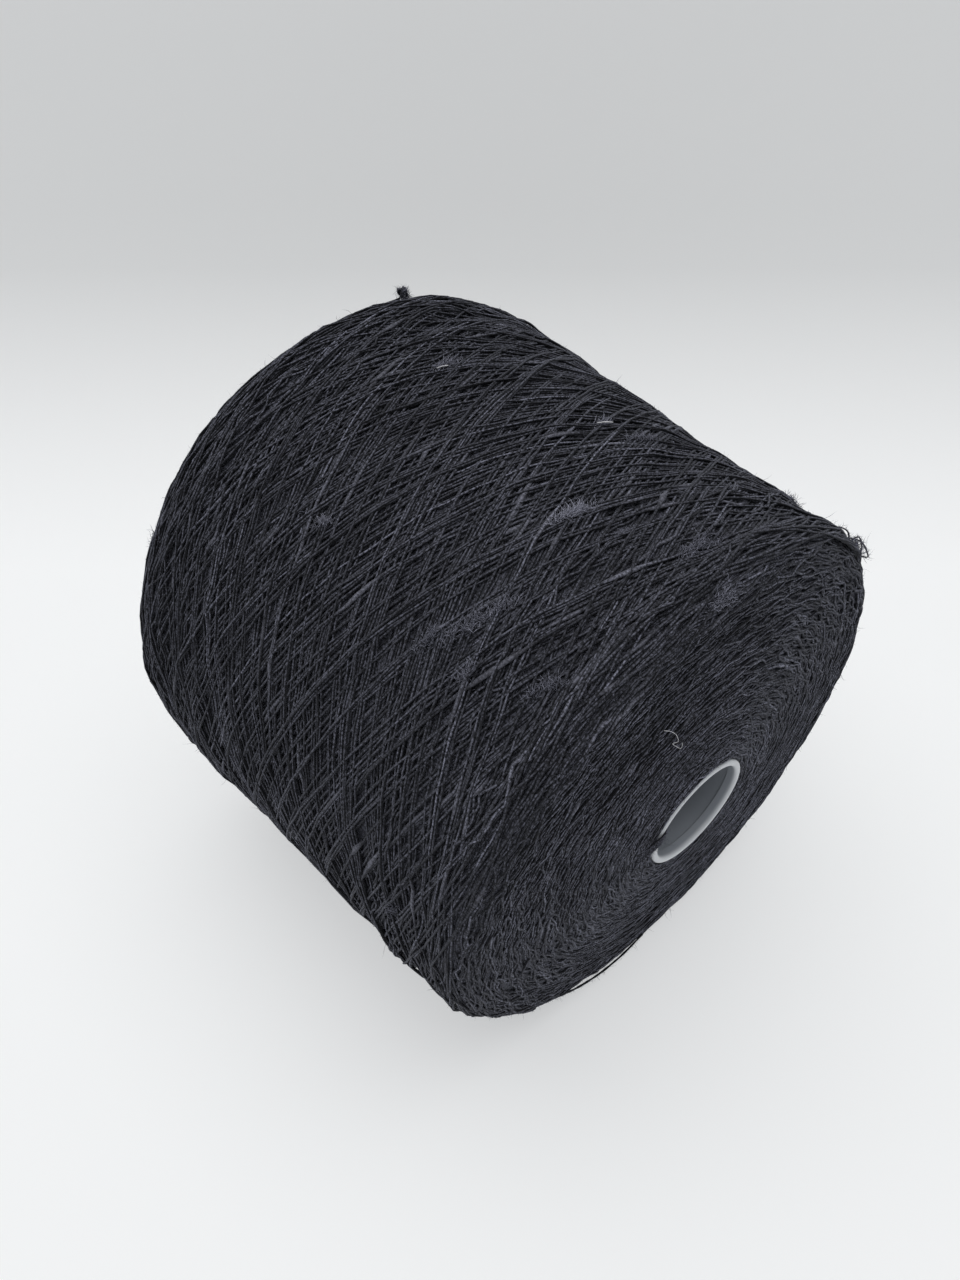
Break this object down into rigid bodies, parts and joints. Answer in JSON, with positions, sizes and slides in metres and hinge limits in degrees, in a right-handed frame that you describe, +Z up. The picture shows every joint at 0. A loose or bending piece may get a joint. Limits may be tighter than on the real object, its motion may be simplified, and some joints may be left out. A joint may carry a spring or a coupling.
{
  "type": "cone of yarn",
  "caption": "Large cross-wound cone of charcoal slub yarn on a tapered plastic cone tube, lying on its side with the small end to the front.",
  "frame": {"origin": "centre of the object's footprint box, on the floor it lies on", "axes": "+Z up; +X horizontal, towards the cone's small end (its nose), with the tube's axis in the XZ plane and dipping 3.46 degrees towards the nose; +Y across the cone"},
  "size_m": [0.1726, 0.1812, 0.1801],
  "materials": {
    "moulded_tube": "satin moulded blue-grey plastic",
    "slub_yarn": "hairy matt charcoal yarn with blue-violet slubs"
  },
  "bodies": {
    "root": {"cone_tube": "moulded_tube", "yarn_package": "slub_yarn", "transfer_tail": "slub_yarn"}
  },
  "joints": []
}
